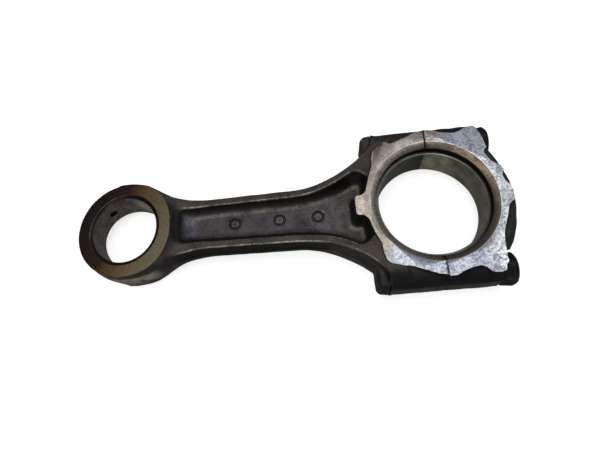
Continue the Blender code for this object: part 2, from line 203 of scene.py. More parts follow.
def face_pad(x, y, z, edge):
    """Raised pad under the machined side face; its flanks lean out as they go down."""
    distance = outline_distance(edge, x, y)
    lean = PAD_LEAN * np.clip(face_z - z, 0.0, PAD_DEPTH)
    return np.maximum(distance - lean, np.maximum(z - face_z - STOCK, PAD_FOOT - z))


def rod_field(x, y, z, side):
    """Outside of the rod forging above mid thickness; both sides are alike."""
    eye = np.hypot(x - pin_x, y) - EYE_R + EYE_DRAFT * z
    eye = np.maximum(eye, z - EYE_TOP)
    crown = np.maximum(np.hypot(x, y) - CROWN_R - CROWN_DRAFT * (face_z - z), z - face_z - STOCK)
    crown = np.maximum(crown, x - PAST_CRACK)
    top = BOSS_TOP + BOSS_CLIMB * smooth_step(x, *BOSS_CLIMB_RUN)
    rod = fillet(shank_field(x, y, z), eye, EYE_FILLET)
    rod = round_edge(rod, -pocket_field(x, y, z), RIM_EDGE)
    rod = fillet(rod, crown, CROWN_FILLET)
    rod = fillet(rod, tab_field(x, y, z), TAB_FILLET)
    rod = fillet(rod, boss_field(x, y, z, top, BOSS_START, PAST_CRACK), BOSS_FILLET)
    rod = fillet(rod, block_field(x, y, z), BLOCK_FILLET)
    return fillet(rod, face_pad(x, y, z, ROD_FACE_INSIDE + ROD_FACE), PAD_FILLET)


SKIN_STEP = 0.75
SKIN_SIDE, SKIN_TOP, SKIN_MARGIN = 54.0, 21.0, 3.0
ROD_WAVINESS = 0.16
WAVE_LENGTH, WAVE_SHIFT = 7.0, Vector((3.1, 0.4, 8.2))
GRAIN_LENGTH, GRAIN_HEIGHT = 1.9, 0.05


def put_in_scene(name, data):
    obj = bpy.data.objects.new(name, data)
    bpy.context.scene.collection.objects.link(obj)
    return obj


def skin(name, field, x_start, x_end, waviness):
    """Closed quad mesh on the zero level of a field that is the same above and below."""
    step = SKIN_STEP
    band = 3.0 * step
    xs = np.arange(x_start, x_end + step, step)
    ys = np.arange(step / 2, SKIN_SIDE + step, step)
    zs = np.arange(step / 2, SKIN_TOP + step, step)
    x, y, z = np.meshgrid(xs, ys, zs, indexing="ij")
    half = np.concatenate([field(x, y, z, -1)[:, ::-1], field(x, y, z, 1)], axis=1)
    whole = np.concatenate([half[:, :, ::-1], half], axis=2)
    grid = openvdb.FloatGrid(band)
    grid.copyFromArray(np.clip(whole, -band, band).astype(np.float32))
    points, _, quads = grid.convertToPolygons(isovalue=0.0)
    points = points * step + np.array([xs[0], -ys[-1], -zs[-1]])
    mesh = bpy.data.meshes.new(name)
    mesh.from_pydata(points.tolist(), [], quads.tolist())
    mesh.update()
    roughen(mesh, waviness)
    return put_in_scene(name, mesh)


def roughen(mesh, waviness):
    """Uneven surface of a forging: long soft waves with a finer scale pattern on them."""
    normals = [Vector(item.vector) for item in mesh.vertex_normals]
    moved = []
    for vertex, normal in zip(mesh.vertices, normals):
        wave = noise.noise(vertex.co / WAVE_LENGTH + WAVE_SHIFT)
        grain = noise.noise(vertex.co / GRAIN_LENGTH)
        moved.extend(vertex.co + normal * (waviness * wave + GRAIN_HEIGHT * grain))
    mesh.vertices.foreach_set("co", moved)
    mesh.update()


def finished(name, bm):
    bmesh.ops.recalc_face_normals(bm, faces=bm.faces)
    mesh = bpy.data.meshes.new(name)
    bm.to_mesh(mesh)
    bm.free()
    return put_in_scene(name, mesh)


def bridge(bm, lower, upper):
    """Closes the wall between two rings of vertices."""
    for i in range(len(lower)):
        j = (i + 1) % len(lower)
        bm.faces.new((lower[i], lower[j], upper[j], upper[i]))


def tube(name, bm, loops):
    """Body that passes through rings of vertices and is capped at both ends."""
    for lower, upper in zip(loops, loops[1:]):
        bridge(bm, lower, upper)
    bm.faces.new(loops[0])
    bm.faces.new(loops[-1])
    return finished(name, bm)


def turned(name, profile, centre=(0.0, 0.0), segments=192):
    """Body turned about Z from (radius, z) points; a closed profile gives a ring."""
    closed = profile[0] == profile[-1]
    bm = bmesh.new()
    loops = []
    for radius, z in profile[:-1] if closed else profile:
        angles = [2 * math.pi * i / segments for i in range(segments)]
        loops.append([bm.verts.new((centre[0] + radius * math.cos(angle),
                                    centre[1] + radius * math.sin(angle), z)) for angle in angles])
    if not closed:
        return tube(name, bm, loops)
    for lower, upper in zip(loops, loops[1:] + loops[:1]):
        bridge(bm, lower, upper)
    return finished(name, bm)


def block(name, low, high):
    bm = bmesh.new()
    centre = [(a + b) / 2 for a, b in zip(low, high)]
    size = [b - a for a, b in zip(low, high)]
    bmesh.ops.create_cube(bm, size=1.0, matrix=Matrix.Translation(centre) @ Matrix.Diagonal((*size, 1)))
    return finished(name, bm)


def machine(obj, cutters):
    """Cuts tools out of a piece and drops them."""
    for cutter in cutters:
        modifier = obj.modifiers.new("cut", "BOOLEAN")
        modifier.operation = "DIFFERENCE"
        modifier.solver = "MANIFOLD"
        modifier.object = cutter
    view = bpy.context.evaluated_depsgraph_get()
    mesh = bpy.data.meshes.new_from_object(obj.evaluated_get(view))
    obj.modifiers.clear()
    old = obj.data
    obj.data = mesh
    bpy.data.meshes.remove(old)
    for cutter in cutters:
        bpy.data.meshes.remove(cutter.data)


# Tools reach this far sideways and this far above and below, clear of the piece
SIDE_CLEAR, TOP_CLEAR = 70.0, 40.0
OVERCUT = 10.0
FACE_START = -60.0
HOUSING_CHAMFER, HOUSING_CHAMFER_DEPTH = 3.55, 2.2
FLANK_CUT, FLANK_START = 51.4, -31.6
GROOVE_X, GROOVE_Y, GROOVE_DEPTH = (-33.2, -32.2), 51.2, 2.2


def housing_tool():
    """Boring bar's path through the big end, with its wide shallow chamfers."""
    out = 3.0
    lip = HOUSING_R + HOUSING_CHAMFER * (HOUSING_CHAMFER_DEPTH + out) / HOUSING_CHAMFER_DEPTH
    inner = face_z - HOUSING_CHAMFER_DEPTH
    return turned("housing_tool", [(lip, -face_z - out), (HOUSING_R, -inner),
                                   (HOUSING_R, inner), (lip, face_z + out)])


def side_face_tools(start):
    """Milling passes over both side faces of the big end."""
    return [block("face_tool", (start, -SIDE_CLEAR, low), (SIDE_CLEAR, SIDE_CLEAR, high))
            for low, high in ((face_z, TOP_CLEAR), (-TOP_CLEAR, -face_z))]


def flank_tools(start, end):
    """Cutter passes that skim the flanks of the bolt bosses flat."""
    return [block("flank_tool", (start, low, -TOP_CLEAR), (end, high, TOP_CLEAR))
            for low, high in ((FLANK_CUT, SIDE_CLEAR), (-SIDE_CLEAR, -FLANK_CUT))]


def groove_tool(side):
    """Notch across the flank where the boss meets its end block."""
    return block("groove_tool", (GROOVE_X[0], side * GROOVE_Y - GROOVE_DEPTH, -TOP_CLEAR),
                 (GROOVE_X[1], side * GROOVE_Y + GROOVE_DEPTH, TOP_CLEAR))


CRACK_GAP, CRACK_STEP = 0.12, 0.55
CRACK_WIDTH, CRACK_HEIGHT = 110.0, 40.0
CRACK_WAVES = ((0.42, 3.2, 7.0), (0.16, 0.9, 2.0))


def crack_height(y, z):
    """How far the fracture wanders along the rod, in waves of (rise, length, shift)."""
    return sum(rise * noise.noise(Vector((y / length, z / length, shift)))
               for rise, length, shift in CRACK_WAVES)


def crack_tool(side):
    """Block whose inner face is the fracture; side +1 removes the cap half, -1 the rod half."""
    columns = int(CRACK_WIDTH / CRACK_STEP)
    rows = int(CRACK_HEIGHT / CRACK_STEP)
    bm = bmesh.new()
    grid = []
    for i in range(columns + 1):
        y = CRACK_WIDTH * (i / columns - 0.5)
        heights = [CRACK_HEIGHT * (j / rows - 0.5) for j in range(rows + 1)]
        grid.append([bm.verts.new((crack_height(y, z) - side * CRACK_GAP / 2, y, z)) for z in heights])
    for i in range(columns):
        for j in range(rows):
            bm.faces.new((grid[i][j], grid[i + 1][j], grid[i + 1][j + 1], grid[i][j + 1]))
    rim = [edge for edge in bm.edges if edge.is_boundary]
    drawn = bmesh.ops.extrude_edge_only(bm, edges=rim)["geom"]
    for vert in (item for item in drawn if isinstance(item, bmesh.types.BMVert)):
        vert.co.x = side * SIDE_CLEAR
    bmesh.ops.contextual_create(bm, geom=[edge for edge in bm.edges if edge.is_boundary])
    return finished("crack_tool", bm)


THREAD_PITCH, THREAD_FLAT = 1.75, 0.12
TAP_ROOT_R, TAP_CREST_R, TAP_END = 6.15, 6.75, -29.5
TAP_ROW, TAP_SEGMENTS = 0.29, 36


def thread_radius(x, angle, root, crest):
    """Radius of a screw surface: a V thread with flats, along its own helix."""
    phase = (x / THREAD_PITCH - angle / (2 * math.pi)) % 1.0
    ridge = 1.0 - abs(2.0 * phase - 1.0)
    ridge = min(max((ridge - THREAD_FLAT) / (1.0 - 2.0 * THREAD_FLAT), 0.0), 1.0)
    return root + (crest - root) * ridge


def screw_tool(y, start, end):
    """Tap's path: a threaded hole along X."""
    rows = int((end - start) / TAP_ROW)
    bm = bmesh.new()
    loops = []
    for k in range(rows + 1):
        x = start + (end - start) * k / rows
        ring = []
        for i in range(TAP_SEGMENTS):
            angle = 2 * math.pi * i / TAP_SEGMENTS
            radius = thread_radius(x, angle, TAP_ROOT_R, TAP_CREST_R)
            ring.append(bm.verts.new((x, y + radius * math.cos(angle), radius * math.sin(angle))))
        loops.append(ring)
    return tube("screw_tool", bm, loops)


EYE_BORE_R, EYE_COUNTERSINK = 22.75, 0.45
EYE_HALF_AT_PIN, EYE_TAPER = 12.5, 0.11
TAPER_START, TAPER_END, TAPER_SIDE = -45.0, 32.4, 45.0


def wedge_height(x):
    """Height of the small end's side face above mid thickness, which falls to the free end."""
    return EYE_HALF_AT_PIN + EYE_TAPER * (x - pin_x)


def taper_tool(side):
    """Wedge-shaped cut above a side face of the small end."""
    bm = bmesh.new()
    x0, x1 = pin_x + TAPER_START, pin_x + TAPER_END
    ring = [(x0, wedge_height(x0)), (x1, wedge_height(x1)), (x1, TOP_CLEAR), (x0, TOP_CLEAR)]
    ends = [[bm.verts.new((x, y, side * z)) for x, z in ring] for y in (-TAPER_SIDE, TAPER_SIDE)]
    return tube("taper_tool", bm, ends)


def eye_lip_tool(side):
    """Countersink round the eye bore, sheared to follow the wedge face."""
    below, above = 1.0, 3.0
    tool = turned("eye_lip_tool", [(EYE_BORE_R - below, -below - EYE_COUNTERSINK),
                                   (EYE_BORE_R + above + EYE_COUNTERSINK, above)], (pin_x, 0.0))
    for vertex in tool.data.vertices:
        vertex.co.z = side * (vertex.co.z + wedge_height(vertex.co.x))
    if side < 0:
        tool.data.flip_normals()
    return tool


PIP_X = (-123.6, -95.2, -70.8)
PIP_DEPTH, PIP_CLEAR, PIP_SEGMENTS = 1.0, 2.6, 48
PIP_CORE_R, PIP_FLOOR_R, PIP_WALL_R, PIP_MOUTH_R = 1.8, 2.1, 3.8, 5.2


def pip_tool(x, side):
    """Ring left round each ejector pin of the forging die; the middle is flush with the web."""
    low, high = side * (WEB - PIP_DEPTH), side * (WEB + PIP_CLEAR)
    return turned("pip_tool", [(PIP_CORE_R, high), (PIP_FLOOR_R, low), (PIP_WALL_R, low),
                               (PIP_MOUTH_R, high), (PIP_CORE_R, high)], (x, 0.0), PIP_SEGMENTS)


rod = skin("rod_forging", rod_field, pin_x - EYE_R - SKIN_MARGIN, SKIN_MARGIN, ROD_WAVINESS)
pips = [pip_tool(x, side) for x in PIP_X for side in (1, -1)]
eye_cuts = [taper_tool(1), taper_tool(-1), eye_lip_tool(1), eye_lip_tool(-1),
            turned("eye_tool", [(EYE_BORE_R, -TOP_CLEAR), (EYE_BORE_R, TOP_CLEAR)], (pin_x, 0.0))]
taps = [screw_tool(side * BOLT_Y, TAP_END, PAST_CRACK) for side in (1, -1)]
machine(rod, side_face_tools(FACE_START) + flank_tools(FLANK_START, OVERCUT) + eye_cuts
        + [housing_tool()] + taps + [groove_tool(1), groove_tool(-1)] + pips + [crack_tool(1)])


def add(tree, kind, inputs=None, **settings):
    """Adds a shader node; a socket given as an input value is linked."""
    made = tree.nodes.new(kind)
    for name, value in settings.items():
        setattr(made, name, value)
    for key, value in (inputs or {}).items():
        if isinstance(value, bpy.types.NodeSocket):
            tree.links.new(value, made.inputs[key])
        else:
            made.inputs[key].default_value = value
    return made


def noise_of(tree, where, scale, detail=4.0, roughness=0.55):
    inputs = {"Vector": where, "Scale": scale, "Detail": detail, "Roughness": roughness}
    return add(tree, "ShaderNodeTexNoise", inputs).outputs["Fac"]


def ramp(tree, factor, stops):
    """Colour ramp through (position, value or colour) stops."""
    made = add(tree, "ShaderNodeValToRGB", {"Fac": factor})
    elements = made.color_ramp.elements
    for index, (position, tint) in enumerate(stops):
        element = elements[index] if index < 2 else elements.new(position)
        element.position = position
        element.color = colour(*(tint if isinstance(tint, tuple) else (tint,) * 3))
    return made.outputs["Color"]


def maths(tree, operation, *values):
    return add(tree, "ShaderNodeMath", dict(enumerate(values)), operation=operation).outputs[0]


def product(tree, first, *others):
    for other in others:
        first = maths(tree, "MULTIPLY", first, other)
    return first


def slope(tree, value, zero, one):
    """0 to 1 as the value runs from one place to another, and held beyond both."""
    made = add(tree, "ShaderNodeMapRange", {0: value, 1: zero, 2: one}, interpolation_type="SMOOTHSTEP")
    return made.outputs[0]


def within(tree, *slopes):
    """Mask of a patch: the product of slopes given as (value, zero, one)."""
    return product(tree, *(slope(tree, *each) for each in slopes))


def blend(tree, factor, a, b, mode="MIX"):
    made = add(tree, "ShaderNodeMix", {0: factor, 6: a, 7: b}, data_type="RGBA", blend_type=mode)
    return made.outputs[2]


def colour(*value):
    return (*value, 1.0)


def shaded(tint, factor):
    return tuple(factor * part for part in tint)


def new_group(name, inputs, outputs):
    """Empty shader group with its named sockets; returns it with its inner ends."""
    group = bpy.data.node_groups.new(name, "ShaderNodeTree")
    for label, kind, default in inputs:
        socket = group.interface.new_socket(label, in_out="INPUT", socket_type="NodeSocket" + kind)
        if default is not None:
            socket.default_value = default
    for label, kind in outputs:
        group.interface.new_socket(label, in_out="OUTPUT", socket_type="NodeSocket" + kind)
    return group, group.nodes.new("NodeGroupInput").outputs, group.nodes.new("NodeGroupOutput").inputs


def new_material(name, roughness, metallic, tint):
    """Material with its shader, and the place on the piece in millimetres from the big end."""
    material = bpy.data.materials.new(name)
    material.use_nodes = True
    material.diffuse_color = colour(*tint)
    tree = material.node_tree
    shader = tree.nodes["Principled BSDF"]
    shader.inputs["Base Color"].default_value = colour(*tint)
    shader.inputs["Roughness"].default_value = roughness
    shader.inputs["Metallic"].default_value = metallic
    where = add(tree, "ShaderNodeTexCoord").outputs["Object"]
    shift = add(tree, "ShaderNodeVectorMath", {0: where, 1: big_centre}, operation="SUBTRACT")
    spot = add(tree, "ShaderNodeVectorMath", {0: shift.outputs[0], "Scale": 1.0 / MM}, operation="SCALE")
    return material, tree, shader, spot.outputs[0]


def finish_with(tree, shader, group, inputs, strength, distance, over=None):
    """Feeds a shared finish to the shader; over(colour socket) lays marks on its colour."""
    made = add(tree, "ShaderNodeGroup", inputs, node_tree=group).outputs
    tint = over(made["Colour"]) if over else made["Colour"]
    tree.links.new(tint, shader.inputs["Base Color"])
    tree.links.new(made["Roughness"], shader.inputs["Roughness"])
    raise_surface(tree, shader, made["Height"], strength, distance)


def raise_surface(tree, shader, height, strength, distance):
    bump = add(tree, "ShaderNodeBump", {"Height": height, "Strength": strength,
                                        "Distance": distance * MM})
    tree.links.new(bump.outputs[0], shader.inputs["Normal"])


def axis_of(tree, spot):
    return add(tree, "ShaderNodeSeparateXYZ", {0: spot}).outputs


def facing_of(tree):
    return axis_of(tree, add(tree, "ShaderNodeNewGeometry").outputs["Normal"])


def ring_radius(tree, axes):
    """Distance from the axis of a bore."""
    square = maths(tree, "MULTIPLY_ADD", axes["X"], axes["X"], product(tree, axes["Y"], axes["Y"]))
    return maths(tree, "SQRT", square)


# Forge scale: pitted grain left by the dies and shot blasting, sooty in places, and rubbed
# bright along the edges that get handled. On the rod the sooting also lays painted shade on
# the pocket walls, and the bright edges are partly a painted highlight
forge_scale, scale_in, scale_out = new_group(
    "forge_scale",
    [("Place", "Vector", None), ("Dark", "Color", colour(0.02, 0.02, 0.02)),
     ("Light", "Color", colour(0.1, 0.1, 0.1)), ("Rubbed And Highlit", "Color", colour(0.2, 0.18, 0.16)),
     ("Rub Amount", "Float", 0.5), ("Soot And Shade", "Float", 0.0)],
    [("Colour", "Color"), ("Roughness", "Float"), ("Height", "Float")])
# Soot colour and cover; on the rod's pocket walls this black is painted shade
SOOT_AND_SHADE_COLOUR, SOOT_AND_SHADE_COVER = colour(0.004, 0.004, 0.005), 0.92
patches = noise_of(forge_scale, scale_in["Place"], 0.10, 3.0, 0.6)
pits = noise_of(forge_scale, scale_in["Place"], 0.85, 5.0, 0.72)
sand = noise_of(forge_scale, scale_in["Place"], 1.9, 3.0, 0.6)
scale_mix = maths(forge_scale, "MULTIPLY_ADD", patches, 0.45, product(forge_scale, pits, 0.55))
tone = ramp(forge_scale, scale_mix, [(0.40, 0.0), (0.60, 1.0)])
base = blend(forge_scale, tone, scale_in["Dark"], scale_in["Light"])
# Bright edges found by pointiness: edge wear, and on the rod partly a painted highlight
bend = add(forge_scale, "ShaderNodeNewGeometry").outputs["Pointiness"]
edge = ramp(forge_scale, bend, [(0.520, 0.0), (0.540, 1.0)])
speckle = ramp(forge_scale, sand, [(0.44, 0.05), (0.56, 1.0)])
rubbed_and_highlit = product(forge_scale, edge, speckle, scale_in["Rub Amount"])
worn_and_highlit = blend(forge_scale, rubbed_and_highlit, base, scale_in["Rubbed And Highlit"])
sooted_and_shaded = blend(forge_scale, product(forge_scale, scale_in["Soot And Shade"], SOOT_AND_SHADE_COVER), worn_and_highlit, SOOT_AND_SHADE_COLOUR)
forge_scale.links.new(sooted_and_shaded, scale_out["Colour"])
pit_rough = maths(forge_scale, "MULTIPLY_ADD", pits, 0.40, 0.30)
rough = maths(forge_scale, "SUBTRACT", pit_rough, product(forge_scale, rubbed_and_highlit, 0.14))
forge_scale.links.new(rough, scale_out["Roughness"])
height = maths(forge_scale, "MULTIPLY_ADD", sand, 0.35, product(forge_scale, pits, 0.65))
forge_scale.links.new(height, scale_out["Height"])

# Stain and mottle of bare machined steel, over the fine parallel lines of its last cut
bare_steel, steel_in, steel_out = new_group(
    "bare_steel",
    [("Place", "Vector", None), ("Across", "Float", None), ("Clean", "Color", colour(0.7, 0.7, 0.7)),
     ("Stain", "Color", colour(0.3, 0.3, 0.3)), ("Stain Amount", "Float", 0.5)],
    [("Colour", "Color"), ("Roughness", "Float"), ("Height", "Float")])
LINES_PER_MM = 5.0
blotch = noise_of(bare_steel, steel_in["Place"], 0.16, 4.0, 0.65)
fleck = noise_of(bare_steel, steel_in["Place"], 0.72, 5.0, 0.78)
mottle = maths(bare_steel, "MULTIPLY_ADD", fleck, 0.70, product(bare_steel, blotch, 0.30))
stained = ramp(bare_steel, mottle, [(0.44, 1.0), (0.54, 0.0)])
stain_mask = product(bare_steel, stained, steel_in["Stain Amount"])
across = product(bare_steel, steel_in["Across"], LINES_PER_MM)
lines = add(bare_steel, "ShaderNodeTexNoise", {"W": across, "Scale": 1.0, "Detail": 3.0},
            noise_dimensions="1D").outputs["Fac"]
line_tone = ramp(bare_steel, lines, [(0.3, 0.55), (0.7, 1.0)])
lit = blend(bare_steel, 0.35, steel_in["Clean"], line_tone, "MULTIPLY")
bare_steel.links.new(blend(bare_steel, stain_mask, lit, steel_in["Stain"]), steel_out["Colour"])
line_rough = maths(bare_steel, "MULTIPLY_ADD", lines, 0.12, 0.26)
bare_steel.links.new(maths(bare_steel, "MULTIPLY_ADD", stain_mask, 0.22, line_rough),
                     steel_out["Roughness"])
bare_steel.links.new(lines, steel_out["Height"])


def forged_skin(name, dark, light, rubbed_and_highlit_colour, rub, soot_and_shade):
    """Forged surface; the colour function tints it, painted highlights included, and the blackening
    function darkens it, partly with painted shade.
    """
    material, tree, shader, spot = new_material(name, 0.5, 0.35, dark)
    shader.inputs["Specular IOR Level"].default_value = 0.5
    axes = axis_of(tree, spot)
    finish_with(tree, shader, forge_scale,
                {"Place": spot, "Dark": colour(*dark), "Light": light(tree, spot, axes),
                 "Rubbed And Highlit": colour(*rubbed_and_highlit_colour), "Rub Amount": rub, "Soot And Shade": soot_and_shade(tree, axes)},
                0.75, 0.5)
    return material


def rod_tone_and_highlights(tree, spot, axes):
    """Brown scale at the big end, violet-grey on the web, ground olive on the flank of the eye; painted
    highlights on the pocket's root fillet, the ends of its lobes and the front rib edges, and painted
    light on the ramp at the pocket's small end.
    """
    along, across = axes["X"], axes["Y"]
    off = maths(tree, "ABSOLUTE", across)
    high = maths(tree, "ABSOLUTE", axes["Z"])
    facing = facing_of(tree)
    brown = blend(tree, slope(tree, along, -66.0, -44.0), colour(0.100, 0.083, 0.073),
                  colour(0.080, 0.066, 0.057))
    violet = blend(tree, slope(tree, along, -92.0, -66.0), colour(0.112, 0.097, 0.120),
                   colour(0.155, 0.135, 0.155))
    body = blend(tree, within(tree, (off, 14.0, 9.0), (along, -42.0, -56.0)), brown, violet)

    neck = within(tree, (off, 17.0, 9.0), (along, -154.0, -161.0))
    # Painted light: a lighter bluish patch on the ramp at the small end of the pocket, as if lit from +X
    ramp_painted_light = within(tree, (along, -160.0, -156.5), (off, 7.6, 5.6), (along, -147.0, -151.0))
    ground = within(tree, (across, -24.0, -27.0), (along, -169.0, -178.0), (high, 8.0, 6.5))
    # Painted highlight on the root fillet of the pocket wall that faces the front
    root = within(tree, (facing["Y"], -0.03, -0.14), (facing["Y"], -0.50, -0.28), (high, 8.0, 7.0),
                  (off, 22.0, 19.0), (along, -158.0, -150.0))
    # Painted highlight on the fillets at the ends of the two lobes, facing -X
    lobe_highlight = within(tree, (facing["X"], -0.12, -0.36), (facing["X"], -0.85, -0.60),
                  (along, -62.0, -52.0), (off, 21.0, 18.0))
    broken = noise_of(tree, spot, 0.9, 3.0, 0.7)
    # Painted highlight, broken into specks, along the rib edges that face the front
    rib_edge_highlight = within(tree, (facing["Y"], -0.20, -0.40), (facing["Y"], -0.90, -0.66),
                      (high, 8.0, 8.7), (along, -62.0, -74.0), (along, -160.0, -150.0),
                      (broken, 0.32, 0.54))
    for patch, tint in ((neck, (0.058, 0.054, 0.064)), (ramp_painted_light, (0.19, 0.185, 0.27)),
                        (ground, (0.66, 0.62, 0.50)),
                        (maths(tree, "MAXIMUM", root, lobe_highlight), (0.23, 0.20, 0.175)),
                        (rib_edge_highlight, (0.90, 0.80, 0.68))):
        body = blend(tree, patch, body, colour(*tint))
    return body


def rod_soot_and_shade(tree, axes):
    """Black on the bolt bosses, most of all at -Y, and painted shade on the steep walls of the pocket."""
    along = axes["X"]
    off = maths(tree, "ABSOLUTE", axes["Y"])
    high = maths(tree, "ABSOLUTE", axes["Z"])
    front = slope(tree, axes["Y"], 5.0, -5.0)
    boss = product(tree, within(tree, (off, 40.0, 46.5), (along, -37.0, -31.0)),
                   maths(tree, "MULTIPLY_ADD", front, 0.55, 0.45))
    end = product(tree, within(tree, (along, -44.0, -38.0), (off, 38.0, 44.0)), front, 0.95)
    # Painted shade: steep walls inside the pocket, below the rib tops, blackened as if in shadow
    steepness = maths(tree, "ABSOLUTE", facing_of(tree)["Z"])
    deep = maths(tree, "MAXIMUM", slope(tree, high, 9.6, 8.4), slope(tree, along, -80.0, -60.0))
    wall = product(tree, deep, within(tree, (steepness, 0.93, 0.76), (off, 23.0, 20.0),
                                      (along, -166.0, -158.0)))
    return maths(tree, "MAXIMUM", maths(tree, "MAXIMUM", boss, end), wall)


def crack_stain(tree, spot, clean):
    """Dark oil drawn out along the crack line at the parting."""
    shake = noise_of(tree, spot, 0.45, 4.0, 0.7)
    wander = maths(tree, "MULTIPLY_ADD", shake, 1.6, maths(tree, "ADD", axis_of(tree, spot)["X"], -0.8))
    off = maths(tree, "ABSOLUTE", wander)
    smear = product(tree, within(tree, (off, 5.0, 0.4), (shake, 0.47, 0.63)), 0.8)
    dark = maths(tree, "MAXIMUM", slope(tree, off, 0.85, 0.35), smear)
    return blend(tree, product(tree, dark, 0.93), clean, colour(0.012, 0.012, 0.02))


def milled_face_with_painted_reflection(name, warm, cool, stain, amount):
    """Side face of the big end: warm at the shank and back and cooler at the cap; its brightening towards
    the cap, low on the -Y side and on the tab is painted reflection, and a thin bright ring round the
    bore's edge is a painted highlight.
    """
    material, tree, shader, spot = new_material(name, 0.35, 1.0, cool)
    axes = axis_of(tree, spot)
    # Painted reflection: the face is coloured brighter and cooler towards the cap and low on its -Y side
    # near the shank
    lean = maths(tree, "MULTIPLY_ADD", axes["X"], 0.0115, product(tree, axes["Y"], -0.004))
    corner_reflection = within(tree, (axes["Y"], -18.0, -38.0), (axes["X"], 12.0, -6.0))
    lean = maths(tree, "MULTIPLY_ADD", corner_reflection, 0.22, lean)
    wander = maths(tree, "MULTIPLY_ADD", noise_of(tree, spot, 0.06, 2.0), 0.35, lean)
    plain = tuple(shade * part for shade, part in zip((0.55, 0.58, 0.63), cool))
    clean = ramp(tree, maths(tree, "ADD", wander, 0.18),
                 [(0.05, warm), (0.24, shaded(warm, 0.9)), (0.38, plain), (0.76, plain), (0.90, cool)])
    # Painted reflection: the tab, past x = -40, is coloured brighter
    clean = blend(tree, slope(tree, axes["X"], -40.0, -43.0), clean, colour(*shaded(warm, 1.35)))
    much = maths(tree, "MULTIPLY_ADD", slope(tree, axes["X"], -20.0, 12.0), 0.3 * amount, 0.7 * amount)
    # Painted highlight: a thin bright ring just outside the bore's chamfer
    edge_r = HOUSING_R + HOUSING_CHAMFER
    lip = slope(tree, ring_radius(tree, axes), edge_r + 0.45, edge_r + 0.15)

    def lip_highlight_and_crack(steel):
        lip_highlighted = blend(tree, product(tree, lip, 0.6), steel, colour(0.9, 0.88, 0.85))
        return crack_stain(tree, spot, lip_highlighted)

    finish_with(tree, shader, bare_steel,
                {"Place": spot, "Across": axes["Y"], "Clean": clean, "Stain": colour(*stain),
                 "Stain Amount": much}, 0.08, 0.05, lip_highlight_and_crack)
    return material


def bored_ring_with_painted_light(name, brown, gold, centre_x, radius):
    """Bored steel with turning marks, browned by heat and old oil in patches; its side towards the shank
    is coloured lighter as painted light.
    """
    material, tree, shader, spot = new_material(name, 0.4, 0.95, brown)
    moved = add(tree, "ShaderNodeVectorMath", {0: spot, 1: (-centre_x, 0.0, 0.0)}).outputs[0]
    axes = axis_of(tree, moved)
    heat_at = (radius * 0.66, radius * 0.75, 0.0)
    from_heat = add(tree, "ShaderNodeVectorMath", {0: moved, 1: heat_at}, operation="DISTANCE")
    near = slope(tree, from_heat.outputs["Value"], radius * 0.95, radius * 0.25)
    patch = maths(tree, "MULTIPLY_ADD", noise_of(tree, spot, 0.11, 4.0, 0.65), 0.9,
                  product(tree, near, 0.42))
    clean = ramp(tree, patch, [(0.42, brown), (0.80, gold)])
    # Painted light: the side towards the shank (-X) is coloured much lighter
    shank = slope(tree, axes["X"], radius * 0.35, -radius * 0.75)
    clean = blend(tree, product(tree, shank, 0.8), clean, colour(*shaded(brown, 2.9)))
    finish_with(tree, shader, bare_steel,
                {"Place": spot, "Across": maths(tree, "ADD", ring_radius(tree, axes), axes["Z"]),
                 "Clean": clean, "Stain": colour(0.045, 0.033, 0.024), "Stain Amount": 0.6},
                0.15, 0.08, lambda steel: crack_stain(tree, spot, steel))
    return material


def eye_face_heat_tint_and_reflection(name):
    """Wedge face of the small end: khaki steel with an orange-brown heat tint between, run to near black
    towards the free end as painted reflection.
    """
    material, tree, shader, spot = new_material(name, 0.42, 0.9, (0.12, 0.09, 0.05))
    axes = axis_of(tree, spot)
    width = 2 * EYE_R
    along = maths(tree, "MULTIPLY_ADD", axes["X"], 1.0 / width, (EYE_R - pin_x) / width)
    skew = maths(tree, "MULTIPLY_ADD", axes["Y"], -0.0068, along)
    wander = maths(tree, "MULTIPLY_ADD", noise_of(tree, spot, 0.09, 3.0), 0.22, skew)
    # Painted reflection: the face runs from khaki to near black towards the free end; the orange-brown
    # stop between is heat tint
    clean = ramp(tree, maths(tree, "ADD", wander, -0.11),
                 [(0.10, (0.050, 0.040, 0.040)), (0.36, (0.085, 0.050, 0.042)),
                  (0.47, (0.24, 0.125, 0.050)), (0.60, (0.31, 0.225, 0.115)),
                  (0.95, (0.40, 0.33, 0.22))])
    finish_with(tree, shader, bare_steel,
                {"Place": spot, "Across": axes["Y"], "Clean": clean,
                 "Stain": colour(0.03, 0.02, 0.015), "Stain Amount": 0.3}, 0.08, 0.05)
    return material


def broken_steel(name):
    """Fracture face: bright grey crystalline grain."""
    material, tree, shader, spot = new_material(name, 0.5, 0.9, (0.30, 0.30, 0.31))
    crystals = add(tree, "ShaderNodeTexVoronoi", {"Vector": spot, "Scale": 1.6}).outputs["Distance"]
    grey = ramp(tree, crystals, [(0.0, 0.34), (0.8, 0.12)])
    gloss = ramp(tree, noise_of(tree, spot, 2.5), [(0.3, 0.35), (0.7, 0.65)])
    tree.links.new(grey, shader.inputs["Base Color"])
    tree.links.new(gloss, shader.inputs["Roughness"])
    raise_surface(tree, shader, crystals, 0.8, 0.3)
    return material


# The rod's bright edge colour is partly a painted highlight
ROD_SKIN = forged_skin("rod_forge_skin", (0.028, 0.024, 0.024), rod_tone_and_highlights, (0.50, 0.46, 0.40), 0.9,
                       rod_soot_and_shade)
